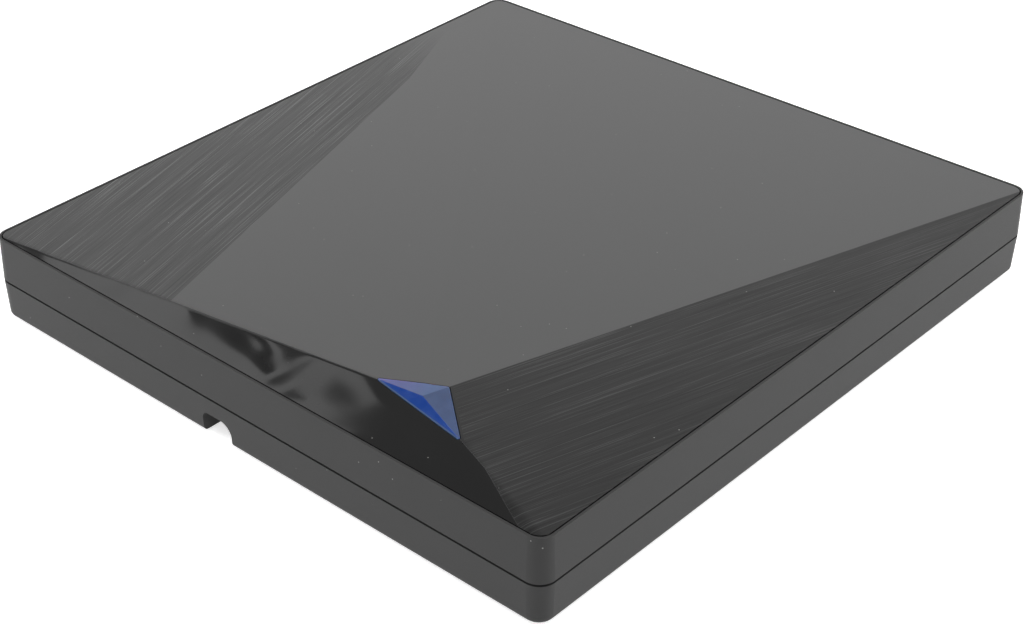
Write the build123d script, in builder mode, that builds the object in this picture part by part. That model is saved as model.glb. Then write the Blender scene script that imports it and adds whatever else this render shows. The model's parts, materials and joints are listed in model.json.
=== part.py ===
from build123d import *
import math
import os

# An external slim disc drive: a two part housing with a faceted lid, around a complete tray drive.
# +Z is up, the origin is on the table under the middle of the housing.
# The tray opens towards -Y, and the cord notch is in the +Y face. Sizes are in millimetres.

# Housing, driving sizes
side_room = 2.05
rear_room = 11.45
foot_proud = 1.0
seam_height = 8.05
crown_rise = 2.9
near_ridge_round = 8.0
long_ridge_round = 5.0
crown_from_side = 36.75
crown_from_rear = 13.15
wall = 1.7
draft_run = 0.28
corner_radius = 3.2
underside_round = 1.0
seam_gap = 0.45
lip_height = 1.5
lip_wall = 0.8
fit_gap = 0.1
plate_lip = 0.45
plate_gap = 0.25
plate_edge = 1.0
plate_wall = 1.2
plate_land = 3.0
ledge_width = 3.2
ledge_thickness = 0.6
rear_deck_width = 11.2

# Indicator gem, measured from the apex along three of the ridges
gem_left_reach = 10.3
gem_right_reach = 5.2
gem_near_reach = 13.3
gem_gap = 0.15
gem_round = 0.45
gem_flange = 0.8
gem_flange_thickness = 0.6

# Cord notch, channel and gland
notch_x = 6.3
notch_width = 7.3
notch_height = 4.5
notch_round_left = 1.5
notch_round_right = 2.6
channel_length = 26.0
channel_roof = 1.0
channel_wall = 1.4
cord_radius = 1.25
cord_height = 2.6
gland_neck_radius = 1.7
gland_head_length = 3.0
gland_round = 1.85
gland_side_gap = 0.5

# Feet and housing screws
foot_radius = 4.5
foot_recess = 0.6
foot_from_side = 9.25
foot_from_front = 11.25
foot_from_rear = 8.25
boss_radius = 3.1
boss_split_gap = 0.3
screw_radius = 1.0
screw_head_radius = 1.9
screw_head_height = 1.2

# Slim drive, driving sizes
drive_float = 0.4
pan_sheet = 0.6
cover_sheet = 0.5
cover_flange = 4.6
bezel_short = 0.5
bezel_thickness = 3.0
bezel_inset = 0.15
window_gap = 0.25

# Tray and rails
rail_thickness = 1.6
rail_width = 2.6
rail_bite = 1.3
guide_web = 0.5
guide_flange = 1.1
tray_skirt = 3.0
tray_side_gap = 0.4
tray_rear_gap = 0.5
tray_top_drop = 0.8
tray_under_gap = 0.4
tray_floor = 1.2
disc_well_radius = 60.5
disc_well_wall = 1.0
well_side_wall = 1.9
small_disc_radius = 40.5
small_disc_depth = 0.6
disc_well_depth = 2.0
tray_rear_wall = 2.5

# Traverse unit, turned about the hub
slide_angle = -45.0
hub_radius = 7.35
turntable_radius = 12.5
disc_lift = 0.7
sled_inner = 6.5
sled_outer = 6.0
rod_radius = 1.0
rod_under = 0.7
rod_above = 0.2
rod_clearance = 0.05
frame_sheet = 0.9
frame_top_gap = 0.2
lead_screw_radius = 0.9
cover_plate_sheet = 0.4

# The drive's outer size follows from the disc and from what holds it
tray_half = disc_well_radius + well_side_wall
pan_inner = tray_half + tray_side_gap
pan_half = pan_inner + pan_sheet
drive_width = 2 * (pan_half + fit_gap + cover_sheet)
tray_length = disc_well_wall + 2 * disc_well_radius + tray_rear_wall
drive_depth = tray_length + tray_rear_gap + pan_sheet + cover_sheet
traverse_room = frame_top_gap + frame_sheet + rod_above + 2 * rod_radius + rod_under
tray_height = traverse_room + tray_floor + disc_well_depth
drive_height = pan_sheet + tray_under_gap + tray_height + tray_top_drop + cover_sheet
bezel_height = drive_height - bezel_short

# The housing's outer size follows from the drive
case_width = drive_width + 2 * (side_room + wall)
case_depth = bezel_inset + bezel_thickness + fit_gap + drive_depth + rear_room + wall
drive_height_above = notch_height + channel_roof + drive_float
rim_height = drive_height_above + drive_height + fit_gap + ledge_thickness + plate_edge

# Places that several pieces share
underside_z = foot_proud
floor_z = underside_z + wall
seam_z = underside_z + seam_height
rim_z = underside_z + rim_height
apex_z = rim_z + crown_rise
half_width = case_width / 2
half_depth = case_depth / 2
crown_x = -(half_width - crown_from_side)
crown_y = half_depth - crown_from_rear
foot_x = half_width - foot_from_side
foot_front_y = -(half_depth - foot_from_front)
foot_rear_y = half_depth - foot_from_rear
inner_x = half_width - wall
inner_y = half_depth - wall
inner_radius = corner_radius - wall
plate_seat_z = rim_z - plate_edge
ledge_z = plate_seat_z - ledge_thickness
channel_top_z = underside_z + notch_height
channel_roof_z = channel_top_z + channel_roof
channel_end_y = half_depth - channel_length
drive_z = channel_roof_z + drive_float
drive_top_z = drive_z + drive_height
pan_floor_z = drive_z + pan_sheet
cover_z = drive_top_z - cover_sheet
bezel_front_y = -(half_depth - bezel_inset)
bezel_back_y = bezel_front_y + bezel_thickness
drive_front_y = bezel_back_y + fit_gap
drive_rear_y = drive_front_y + drive_depth
bezel_z = drive_z + fit_gap
bezel_top_z = bezel_z + bezel_height
hub_y = bezel_back_y + disc_well_wall + disc_well_radius


# Lower shell: tapered tray with a floor, a seam lip, the cord channel and the bosses for the drive
lower_draft = math.degrees(math.atan(draft_run / seam_height))
lower_top = seam_z - seam_gap / 2
post_size = 5.0
post_inset = 8.0
post_x = drive_width / 2 - post_inset
post_from_front = 18.0
post_from_rear = 12.0
post_y = (drive_front_y + post_from_front, (drive_front_y + drive_rear_y) / 2, drive_rear_y - post_from_rear)
side_rib_length = 10.0
board_standoff = 0.5
board_boss_radius = 2.2
board_z = pan_floor_z + board_standoff
socket_x = 20.0
board_reach = (36.0, 26.0)
board_screw_x = (socket_x - board_reach[0], socket_x + board_reach[1])
board_y = (drive_rear_y + inner_y) / 2

with BuildPart() as lower_shell:
    with BuildSketch(Plane.XY.offset(underside_z)):
        RectangleRounded(case_width - 2 * draft_run, case_depth - 2 * draft_run, corner_radius - draft_run)
    extrude(amount=lower_top - underside_z, taper=-lower_draft)
    fillet(lower_shell.faces().sort_by(Axis.Z)[0].edges(), underside_round)
    with BuildSketch(Plane.XY.offset(floor_z)):
        RectangleRounded(2 * inner_x, 2 * inner_y, inner_radius)
    extrude(amount=lower_top - floor_z, mode=Mode.SUBTRACT)
    # lip that closes the seam from inside
    with BuildSketch(Plane.XY.offset(floor_z)):
        RectangleRounded(2 * (inner_x + lip_wall), 2 * (inner_y + lip_wall), inner_radius + lip_wall)
        RectangleRounded(2 * inner_x, 2 * inner_y, inner_radius, mode=Mode.SUBTRACT)
    extrude(amount=seam_z + lip_height - floor_z)
    # walls round the cord channel
    with BuildSketch(Plane.XY.offset(floor_z)):
        with Locations((notch_x, (channel_end_y - channel_wall + inner_y) / 2)):
            Rectangle(notch_width + 2 * channel_wall, inner_y - channel_end_y + channel_wall)
    extrude(amount=channel_roof_z - floor_z)
    # posts under the drive and ribs beside it
    with BuildSketch(Plane.XY.offset(floor_z)):
        with Locations([(side * post_x, y) for side in (-1, 1) for y in post_y]):
            Rectangle(post_size, post_size)
    extrude(amount=drive_z - floor_z)
    with BuildSketch(Plane.XY.offset(floor_z)):
        rib_x = (drive_width / 2 + fit_gap + inner_x) / 2
        with Locations([(side * rib_x, y) for side in (-1, 1) for y in post_y]):
            Rectangle(inner_x - drive_width / 2 - fit_gap, side_rib_length)
    extrude(amount=seam_z - floor_z)
    # bosses for the bridge board and for the two housing screws
    with BuildSketch(Plane.XY.offset(floor_z)):
        with Locations([(x, board_y) for x in board_screw_x]):
            Circle(board_boss_radius)
    extrude(amount=board_z - floor_z)
    with BuildSketch(Plane.XY.offset(floor_z)):
        with Locations([(side * foot_x, foot_rear_y) for side in (-1, 1)]):
            Circle(boss_radius)
    extrude(amount=seam_z - floor_z)
    # window for the tray
    with BuildSketch(Plane.XY.offset(bezel_z - window_gap)):
        with Locations((0, -half_depth)):
            Rectangle(drive_width + 2 * window_gap, 2 * (wall + fit_gap))
    extrude(amount=rim_z, mode=Mode.SUBTRACT)
    # the notch and its channel, open underneath
    with BuildSketch(Plane.XZ.offset(-half_depth - 1)):
        with BuildLine():
            left = notch_x + notch_width / 2
            right = notch_x - notch_width / 2
            Polyline((right, 0), (right, channel_top_z - notch_round_right))
            RadiusArc(
                (right, channel_top_z - notch_round_right),
                (right + notch_round_right, channel_top_z),
                notch_round_right,
            )
            Polyline((right + notch_round_right, channel_top_z), (left - notch_round_left, channel_top_z))
            RadiusArc(
                (left - notch_round_left, channel_top_z),
                (left, channel_top_z - notch_round_left),
                notch_round_left,
            )
            Polyline((left, channel_top_z - notch_round_left), (left, 0), (right, 0))
        make_face()
    extrude(amount=channel_length + 1, mode=Mode.SUBTRACT)
    # hole for the gland's neck, with the floor hollowed behind it
    cord_z = underside_z + cord_height
    with BuildSketch(Plane.XZ.offset(-channel_end_y)):
        with Locations((notch_x, cord_z)):
            Circle(gland_neck_radius + rod_clearance)
    extrude(amount=channel_wall + 3 * gland_neck_radius, mode=Mode.SUBTRACT)
    # recesses for the feet, the screw heads and the screws
    with BuildSketch(Plane.XY.offset(underside_z)):
        with Locations([(side * foot_x, y) for side in (-1, 1) for y in (foot_front_y, foot_rear_y)]):
            Circle(foot_radius + fit_gap)
    extrude(amount=foot_recess, mode=Mode.SUBTRACT)
    head_seat_z = underside_z + foot_recess + screw_head_height + fit_gap
    with BuildSketch(Plane.XY.offset(underside_z)):
        with Locations([(side * foot_x, foot_rear_y) for side in (-1, 1)]):
            Circle(screw_head_radius + fit_gap)
    extrude(amount=head_seat_z - underside_z, mode=Mode.SUBTRACT)
    with BuildSketch(Plane.XY.offset(underside_z)):
        with Locations([(side * foot_x, foot_rear_y) for side in (-1, 1)]):
            Circle(screw_radius + rod_clearance)
    extrude(amount=seam_z, mode=Mode.SUBTRACT)
    with BuildSketch(Plane.XY.offset(floor_z)):
        with Locations([(x, board_y) for x in board_screw_x]):
            Circle(screw_radius)
    extrude(amount=board_z, mode=Mode.SUBTRACT)

# Upper frame: wall, ledge under the lid, rear deck and screw bosses
upper_low = seam_z + seam_gap / 2
upper_draft = math.degrees(math.atan(draft_run / (rim_height - seam_height)))
plate_inset = draft_run + plate_lip
plate_corner = corner_radius - plate_inset
with BuildPart() as upper_frame:
    with BuildSketch(Plane.XY.offset(upper_low)):
        RectangleRounded(case_width, case_depth, corner_radius)
    extrude(amount=rim_z - upper_low, taper=upper_draft)
    with BuildSketch(Plane.XY.offset(upper_low)):
        RectangleRounded(2 * inner_x, 2 * inner_y, inner_radius)
    extrude(amount=ledge_z - upper_low, mode=Mode.SUBTRACT)
    with BuildSketch(Plane.XY.offset(upper_low)):
        lip_room = lip_wall + fit_gap
        RectangleRounded(2 * (inner_x + lip_room), 2 * (inner_y + lip_room), inner_radius + lip_room)
    extrude(amount=lip_height - seam_gap / 2 + fit_gap, mode=Mode.SUBTRACT)
    # seat for the lid, then the opening inside the ledge
    with BuildSketch(Plane.XY.offset(plate_seat_z)):
        RectangleRounded(case_width - 2 * plate_inset, case_depth - 2 * plate_inset, plate_corner)
    extrude(amount=crown_rise + plate_edge, mode=Mode.SUBTRACT)
    with BuildSketch(Plane.XY.offset(ledge_z - fit_gap)):
        opening_front = -(inner_y - ledge_width)
        opening_rear = inner_y - rear_deck_width
        with Locations((0, (opening_front + opening_rear) / 2)):
            RectangleRounded(2 * (inner_x - ledge_width), opening_rear - opening_front, inner_radius)
    extrude(amount=rim_height, mode=Mode.SUBTRACT)
    with BuildSketch(Plane.XY.offset(seam_z + boss_split_gap)):
        with Locations([(side * foot_x, foot_rear_y) for side in (-1, 1)]):
            Circle(boss_radius)
    extrude(amount=ledge_z + ledge_thickness - seam_z - boss_split_gap)
    with BuildSketch(Plane.XY.offset(seam_z)):
        with Locations([(side * foot_x, foot_rear_y) for side in (-1, 1)]):
            Circle(screw_radius)
    extrude(amount=ledge_z - seam_z - 1, mode=Mode.SUBTRACT)
    with BuildSketch(Plane.XY.offset(seam_z - 1)):
        with Locations((0, -half_depth)):
            Rectangle(drive_width + 2 * window_gap, 2 * (wall + fit_gap))
    extrude(amount=bezel_top_z + window_gap - seam_z + 1, mode=Mode.SUBTRACT)

# Lid: a thin plate folded into four facets that meet at one apex, each facet starting at a rim edge
plate_half_x = half_width - plate_inset - plate_gap
plate_half_y = half_depth - plate_inset - plate_gap
apex = Vector(crown_x, crown_y, apex_z)
rim_corners = [
    Vector(plate_half_x, plate_half_y, rim_z),
    Vector(-plate_half_x, plate_half_y, rim_z),
    Vector(-plate_half_x, -plate_half_y, rim_z),
    Vector(plate_half_x, -plate_half_y, rim_z),
]


def facet_plane(number, lower):
    """Plane of one facet, moved down by the given amount, with its normal pointing up."""
    first = rim_corners[number]
    second = rim_corners[(number + 1) % 4]
    normal = (second - first).cross(apex - first)
    if normal.Z < 0:
        normal = normal * -1
    return Plane(origin=first - Vector(0, 0, lower), z_dir=normal)


def crowned_block(half_x, half_y, corner, low_z, lower):
    """Upright block whose top is the faceted crown, moved down by the given amount."""
    with BuildPart() as block:
        with BuildSketch(Plane.XY.offset(low_z)):
            RectangleRounded(2 * half_x, 2 * half_y, corner)
        extrude(amount=apex_z + crown_rise - low_z)
        for number in range(4):
            split(bisect_by=facet_plane(number, lower), keep=Keep.BOTTOM)
    return block.part


def toward_corner(number, reach):
    """Point on a ridge at the given distance from the apex, seen from above."""
    run = rim_corners[number] - apex
    share = reach / math.hypot(run.X, run.Y)
    return (apex.X + run.X * share, apex.Y + run.Y * share)


def ridge_point(number, share):
    """Point on a ridge, at a share of the way from the apex to the rim."""
    return apex + (rim_corners[number] - apex) * share


gem_points = [
    toward_corner(0, gem_left_reach),
    toward_corner(1, gem_near_reach),
    toward_corner(2, gem_right_reach),
]


def gem_prism(grow, low_z, high_z):
    """Upright triangular prism over the gem's outline, grown by the given margin."""
    with BuildPart() as prism:
        with BuildSketch(Plane.XY.offset(low_z)) as outline:
            with BuildLine():
                Polyline(*gem_points, close=True)
            make_face()
            fillet(outline.vertices(), gem_round)
            if grow != 0:
                offset(amount=grow, kind=Kind.ARC)
        extrude(amount=high_z - low_z)
    return prism.part


gem_low_z = rim_z - plate_wall
gem_high_z = apex_z + 1
with BuildPart() as top_plate:
    add(crowned_block(plate_half_x, plate_half_y, plate_corner - plate_gap, plate_seat_z, 0))
    add(
        crowned_block(
            plate_half_x - plate_land,
            plate_half_y - plate_land,
            plate_corner,
            plate_seat_z,
            plate_wall,
        ),
        mode=Mode.SUBTRACT,
    )
    add(gem_prism(0, gem_low_z, gem_high_z), mode=Mode.SUBTRACT)
    # the two ridges beside the glossy facet are softly rounded
    fillet(top_plate.edges().sort_by_distance(ridge_point(1, 0.6))[0], near_ridge_round)
    fillet(top_plate.edges().sort_by_distance(ridge_point(0, 0.5))[0], long_ridge_round)

# Gem: a lens with the same facets as the lid, held by a flange that follows the lid's underside
with BuildPart() as gem_rim:
    add(gem_prism(gem_flange, gem_low_z, gem_high_z))
    add(
        crowned_block(plate_half_x, plate_half_y, plate_corner, gem_low_z, plate_wall),
        mode=Mode.INTERSECT,
    )

with BuildPart() as indicator_gem:
    add(gem_prism(-gem_gap, gem_low_z, gem_high_z))
    add(crowned_block(plate_half_x, plate_half_y, plate_corner, gem_low_z, 0), mode=Mode.INTERSECT)
    add(gem_rim.part)
    add(
        crowned_block(
            plate_half_x,
            plate_half_y,
            plate_corner,
            gem_low_z - plate_wall,
            plate_wall + gem_flange_thickness,
        ),
        mode=Mode.SUBTRACT,
    )

# Light board on the rear deck, under the gem
led_size = 3.0
led_height = 0.4
led_board_size = (16.0, 6.0)
led_board_sheet = 0.5
led_board_y = inner_y - rear_deck_width + led_board_size[1] / 2 + fit_gap
with BuildPart() as led_board:
    with BuildSketch(Plane.XY.offset(plate_seat_z)):
        with Locations((crown_x, led_board_y)):
            Rectangle(*led_board_size)
    extrude(amount=led_board_sheet)
    with BuildSketch(Plane.XY.offset(plate_seat_z + led_board_sheet)):
        with Locations((crown_x, led_board_y - led_board_size[1] / 2 + led_size / 2)):
            Rectangle(led_size, led_size)
    extrude(amount=led_height)

# Feet in their recesses, and the screws under the rear pair
foot_round = 0.4
with BuildPart() as rubber_feet:
    with BuildSketch(Plane.XY):
        with Locations([(side * foot_x, y) for side in (-1, 1) for y in (foot_front_y, foot_rear_y)]):
            Circle(foot_radius)
    extrude(amount=foot_proud + foot_recess)
    chamfer(rubber_feet.faces().group_by(Axis.Z)[0].edges(), foot_round)

screw_length = 11.0
socket_radius = 0.9
with BuildPart() as housing_screws:
    with BuildSketch(Plane.XY.offset(head_seat_z - screw_head_height)):
        with Locations([(side * foot_x, foot_rear_y) for side in (-1, 1)]):
            Circle(screw_head_radius)
    extrude(amount=screw_head_height)
    with BuildSketch(Plane.XY.offset(head_seat_z)):
        with Locations([(side * foot_x, foot_rear_y) for side in (-1, 1)]):
            Circle(screw_radius - rod_clearance)
    extrude(amount=screw_length)
    with BuildSketch(Plane.XY.offset(head_seat_z - screw_head_height)):
        with Locations([(side * foot_x, foot_rear_y) for side in (-1, 1)]):
            RegularPolygon(socket_radius, 6)
    extrude(amount=screw_head_height / 2, mode=Mode.SUBTRACT)

# Gland for the cord at the inner end of the channel
gland_head_low = underside_z + foot_recess
with BuildPart() as cord_gland:
    with BuildSketch(Plane.XZ.offset(-channel_end_y - gland_head_length)):
        with Locations((notch_x, (gland_head_low + channel_top_z - fit_gap) / 2)):
            gland_height = channel_top_z - fit_gap - gland_head_low
            RectangleRounded(notch_width - 2 * gland_side_gap, gland_height, gland_round)
    extrude(amount=gland_head_length)
    chamfer(cord_gland.faces().sort_by(Axis.Y)[-1].edges(), 0.4)
    with BuildSketch(Plane.XZ.offset(-channel_end_y)):
        with Locations((notch_x, cord_z)):
            Circle(gland_neck_radius)
    extrude(amount=channel_wall + 1)
    with BuildSketch(Plane.XZ.offset(-channel_end_y - gland_head_length)):
        with Locations((notch_x, cord_z)):
            Circle(cord_radius)
    extrude(amount=gland_head_length + channel_wall + 1, mode=Mode.SUBTRACT)

# Sheet metal case of the drive: a pan, and a cover whose flanges fold down outside it
pan_rear_y = drive_rear_y - cover_sheet - fit_gap
main_board_sheet = 1.0
main_board_z = pan_floor_z + board_standoff
socket_size = (33.0, 5.0, 2.4)
socket_slot = (30.0, 4.0, 1.0)
post_radius = 1.2
post_height = 2.6
latch_post_at = (-(drive_width / 2 - 14.0), bezel_back_y + 7.1)
standoff_radius = 1.5
main_board_depth = 29.0
board_back_y = pan_rear_y - pan_sheet - fit_gap
board_front_y = board_back_y - main_board_depth
board_half = drive_width / 2 - 10.0
standoff_at = [
    (-(board_half - 10.0), board_front_y + 6.0),
    (-(board_half - 10.0), board_back_y - 5.0),
    (board_half - 14.0, board_front_y + 6.0),
]
with BuildPart() as drive_base_pan:
    with BuildSketch(Plane.XY.offset(drive_z)):
        with Locations((0, (drive_front_y + pan_rear_y) / 2)):
            Rectangle(2 * pan_half, pan_rear_y - drive_front_y)
    extrude(amount=cover_z - drive_z)
    with BuildSketch(Plane.XY.offset(pan_floor_z)):
        with Locations((0, (drive_front_y - pan_sheet + pan_rear_y - pan_sheet) / 2)):
            Rectangle(2 * pan_inner, pan_rear_y - drive_front_y)
    extrude(amount=cover_z - pan_floor_z, mode=Mode.SUBTRACT)
    with BuildSketch(Plane.XZ.offset(-pan_rear_y)):
        with Locations((socket_x, main_board_z + (main_board_sheet + socket_size[2]) / 2)):
            Rectangle(socket_size[0] + 2 * fit_gap, main_board_sheet + socket_size[2] + 2 * fit_gap)
    extrude(amount=2 * pan_sheet, mode=Mode.SUBTRACT)
    with BuildSketch(Plane.XY.offset(pan_floor_z)):
        with Locations(standoff_at):
            Circle(standoff_radius)
    extrude(amount=main_board_z - pan_floor_z)

with BuildPart() as drive_top_cover:
    with BuildSketch(Plane.XY.offset(drive_top_z - cover_flange)):
        with Locations((0, (drive_front_y + drive_rear_y) / 2)):
            Rectangle(drive_width, drive_depth)
    extrude(amount=cover_flange)
    with BuildSketch(Plane.XY.offset(drive_top_z - cover_flange)):
        with Locations((0, (drive_front_y - cover_sheet + drive_rear_y - cover_sheet) / 2)):
            Rectangle(drive_width - 2 * cover_sheet, drive_depth)
    extrude(amount=cover_flange - cover_sheet, mode=Mode.SUBTRACT)

# A screw each side fixes the cover to the pan
side_screw_from_rear = 48.0
side_screw_y = drive_rear_y - side_screw_from_rear
side_screw_z = drive_top_z - cover_flange / 2
side_screw_radius = 0.8
screw_reach = cover_sheet + fit_gap + pan_sheet


def side_screw_plane(side):
    """Plane on the outside of the cover at one of its screws, facing inwards."""
    return Plane(origin=(side * drive_width / 2, side_screw_y, side_screw_z), z_dir=(-side, 0, 0))


with BuildPart(mode=Mode.PRIVATE) as screw_cutter:
    for side in (-1, 1):
        with BuildSketch(side_screw_plane(side)):
            Circle(side_screw_radius + rod_clearance)
        extrude(amount=screw_reach)
with BuildPart() as cover_screws:
    for side in (-1, 1):
        with BuildSketch(side_screw_plane(side)):
            Circle(side_screw_radius)
        extrude(amount=screw_reach)
with BuildPart() as pan_drilled:
    add(drive_base_pan.part)
    add(screw_cutter.part, mode=Mode.SUBTRACT)
with BuildPart() as cover_drilled:
    add(drive_top_cover.part)
    add(screw_cutter.part, mode=Mode.SUBTRACT)

with BuildPart() as latch_post:
    with BuildSketch(Plane.XY.offset(pan_floor_z)):
        with Locations(latch_post_at):
            Circle(post_radius)
    extrude(amount=post_height)

# Controller board of the drive, with its chips, and the socket at its rear edge
chip_height = 1.2
board_mid_y = (board_front_y + board_back_y) / 2
chips = [
    (-24.0, board_mid_y, 14.0),
    (4.0, board_mid_y - 4.0, 9.0),
    (standoff_at[0][0] + 3.0, board_mid_y, 7.0),
]
with BuildPart() as main_board:
    with BuildSketch(Plane.XY.offset(main_board_z)):
        with Locations((0, board_mid_y)):
            Rectangle(2 * board_half, board_back_y - board_front_y)
    extrude(amount=main_board_sheet)
    for x, y, size in chips:
        with BuildSketch(Plane.XY.offset(main_board_z + main_board_sheet)):
            with Locations((x, y)):
                Rectangle(size, size)
        extrude(amount=chip_height)

socket_base_z = main_board_z + main_board_sheet
socket_mid_z = socket_base_z + socket_size[2] / 2
with BuildPart() as drive_socket:
    with BuildSketch(Plane.XY.offset(socket_base_z)):
        with Locations((socket_x, drive_rear_y - socket_size[1] / 2)):
            Rectangle(socket_size[0], socket_size[1])
    extrude(amount=socket_size[2])
    with BuildSketch(Plane.XZ.offset(-drive_rear_y)):
        with Locations((socket_x, socket_mid_z)):
            Rectangle(socket_slot[0], socket_slot[2])
    extrude(amount=socket_slot[1], mode=Mode.SUBTRACT)

# Bridge board behind the drive, with its plug, chip and the header for the cord
bridge_sheet = 1.0
bridge_half_depth = 4.4
bridge_chip = 6.0
bridge_chip_x = board_screw_x[0] + 12.0
bridge_size_x = board_screw_x[1] - board_screw_x[0] + 4 * board_boss_radius
bridge_mid_x = (board_screw_x[0] + board_screw_x[1]) / 2
with BuildPart() as bridge_board:
    with BuildSketch(Plane.XY.offset(board_z)):
        with Locations((bridge_mid_x, board_y)):
            Rectangle(bridge_size_x, 2 * bridge_half_depth)
        with Locations([(x, board_y) for x in board_screw_x]):
            Circle(screw_radius + fit_gap, mode=Mode.SUBTRACT)
    extrude(amount=bridge_sheet)
    with BuildSketch(Plane.XY.offset(board_z + bridge_sheet)):
        with Locations((bridge_chip_x, board_y)):
            Rectangle(bridge_chip, bridge_chip)
    extrude(amount=chip_height)

plug_depth = 3.2
tongue_gap = 0.15
with BuildPart() as bridge_plug:
    with BuildSketch(Plane.XY.offset(board_z + bridge_sheet)):
        with Locations((socket_x, drive_rear_y + fit_gap + plug_depth / 2)):
            Rectangle(socket_size[0], plug_depth)
    extrude(amount=socket_size[2])
    with BuildSketch(Plane.XZ.offset(-drive_rear_y - fit_gap)):
        with Locations((socket_x, socket_mid_z)):
            Rectangle(socket_slot[0] - 2 * tongue_gap, socket_slot[2] - 2 * tongue_gap)
    extrude(amount=socket_slot[1])

header_x = board_screw_x[1] - 6.5
header_size = (5.0, 5.6, 2.4)
header_slot = (4.0, 3.0, 1.2)
header_y = board_y + bridge_half_depth - 0.2 - header_size[1] / 2
with BuildPart() as cord_header:
    with BuildSketch(Plane.XY.offset(board_z + bridge_sheet)):
        with Locations((header_x, header_y)):
            Rectangle(header_size[0], header_size[1])
    extrude(amount=header_size[2])
    with BuildSketch(Plane.XZ.offset(-header_y - header_size[1] / 2)):
        with Locations((header_x, board_z + bridge_sheet + header_size[2] / 2)):
            Rectangle(header_slot[0], header_slot[2])
    extrude(amount=header_slot[1], mode=Mode.SUBTRACT)

board_screw_length = 4.0
with BuildPart() as board_screws:
    with BuildSketch(Plane.XY.offset(board_z + bridge_sheet)):
        with Locations([(x, board_y) for x in board_screw_x]):
            Circle(screw_head_radius)
    extrude(amount=screw_head_height)
    with BuildSketch(Plane.XY.offset(board_z + bridge_sheet)):
        with Locations([(x, board_y) for x in board_screw_x]):
            Circle(screw_radius - rod_clearance)
    extrude(amount=-board_screw_length)

# Rails: a fixed guide each side, and a slide rail between the guide and the tray's slot
guide_gap = 0.1
guide_foot = 1.3
rail_z = pan_floor_z + guide_foot + guide_gap + rail_thickness / 2
rail_outer = pan_inner - guide_web - guide_gap
rail_inner = rail_outer - rail_width
guide_mouth = rail_inner + rail_bite
guide_top_z = rail_z + rail_thickness / 2 + guide_gap + guide_flange
guide_front_y = drive_front_y + 1.0
guide_rear_y = pan_rear_y - 5.0
rail_front_y = drive_front_y + 1.0
rail_rear_y = bezel_back_y + tray_length - 2.4


def fixed_guide(side):
    """Channel on the pan's floor and side wall, open towards the tray."""
    with BuildPart() as guide:
        with BuildSketch(Plane.XZ.offset(-guide_rear_y)):
            with Locations((side * (guide_mouth + pan_inner) / 2, (pan_floor_z + guide_top_z) / 2)):
                Rectangle(pan_inner - guide_mouth, guide_top_z - pan_floor_z)
            with Locations((side * (rail_outer + guide_gap + guide_mouth) / 2, rail_z)):
                Rectangle(
                    rail_outer + guide_gap - guide_mouth,
                    rail_thickness + 2 * guide_gap,
                    mode=Mode.SUBTRACT,
                )
        extrude(amount=guide_rear_y - guide_front_y)
    return guide.part


def slide_rail(side):
    """Steel strip that runs out at half the speed of the tray."""
    with BuildPart() as rail:
        with BuildSketch(Plane.XZ.offset(-rail_rear_y)):
            with Locations((side * (rail_inner + rail_outer) / 2, rail_z)):
                Rectangle(rail_width, rail_thickness)
        extrude(amount=rail_rear_y - rail_front_y)
        chamfer(rail.edges().filter_by(Axis.Z), 0.6)
    return rail.part


with BuildPart() as left_guide:
    add(fixed_guide(-1))
with BuildPart() as right_guide:
    add(fixed_guide(1))
with BuildPart() as left_slide_rail:
    add(slide_rail(-1))
with BuildPart() as right_slide_rail:
    add(slide_rail(1))

# Tray moulding: a plate with the disc well, over side skirts that run on the rails
tray_top_z = cover_z - tray_top_drop
disc_floor_z = tray_top_z - disc_well_depth
tray_floor_z = disc_floor_z - tray_floor
tray_under_z = pan_floor_z + tray_under_gap
skirt_outer = guide_mouth - 0.3
skirt_inner = skirt_outer - tray_skirt
tray_front_y = bezel_back_y
tray_rear_y = hub_y + disc_well_radius + tray_rear_wall
tray_mid_y = (tray_front_y + tray_rear_y) / 2
front_skirt = 2.0
corner_core = 1.2
slide_run = math.radians(slide_angle)
slide_dir = (math.cos(slide_run), math.sin(slide_run), 0)
window_clear = 0.3
window_round = disc_well_radius - 0.5
window_outer = window_round + 1.0


def slide_plane(height):
    """Horizontal plane through the hub, with x along the way that the pickup slides."""
    return Plane(origin=(0, hub_y, height), x_dir=slide_dir, z_dir=(0, 0, 1))


# Spindle and lead screw across the slide, worked out from the turntable outwards
rotor_gap = 0.7
rotor_hole = turntable_radius + rotor_gap
leg_size = (1.4, 3.0)
leg_circle = turntable_radius + leg_size[0] / 2 + 0.6
stator_radius = leg_circle + leg_size[0] / 2 + 0.4
stator_sheet = 0.8
motor_radius = 1.85
motor_z = tray_under_z + motor_radius
motor_length = 16.0
motor_room = 0.25
screw_offset = stator_radius + motor_radius + motor_room
rod_offset = screw_offset - 4.0
sled_half = rod_offset + rod_radius + 1.3
sled_window_half = sled_half + 0.3

# Frame of the traverse unit, sized to reach past the lead screw and out to the corner of the tray
frame_top_z = tray_floor_z - frame_top_gap
frame_z = frame_top_z - frame_sheet
rod_z = frame_z - rod_above - rod_radius
stator_z = rod_z - 0.7
frame_margin = 8.0
frame_half = screw_offset + frame_margin
frame_back = -(frame_half - 1.0)
frame_end_half = frame_half - 11.0
frame_reach = (skirt_inner - window_clear) * math.sqrt(2)
frame_taper_start = frame_reach - frame_half
frame_end = frame_reach - frame_end_half
bar_size = 2.0
outer_bar_start = frame_end - bar_size
window_inner = frame_back + 7.0
window_half = frame_half - 7.5
damper_inset = 3.5
damper_places = [
    (frame_back + damper_inset, -(frame_half - damper_inset)),
    (frame_back + damper_inset, frame_half - damper_inset),
    (frame_taper_start - 8.0, -(frame_half - damper_inset)),
]
damper_body = 2.5
damper_hole = damper_body + rod_clearance
damper_flange = 3.3
damper_drop = 0.5
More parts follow.
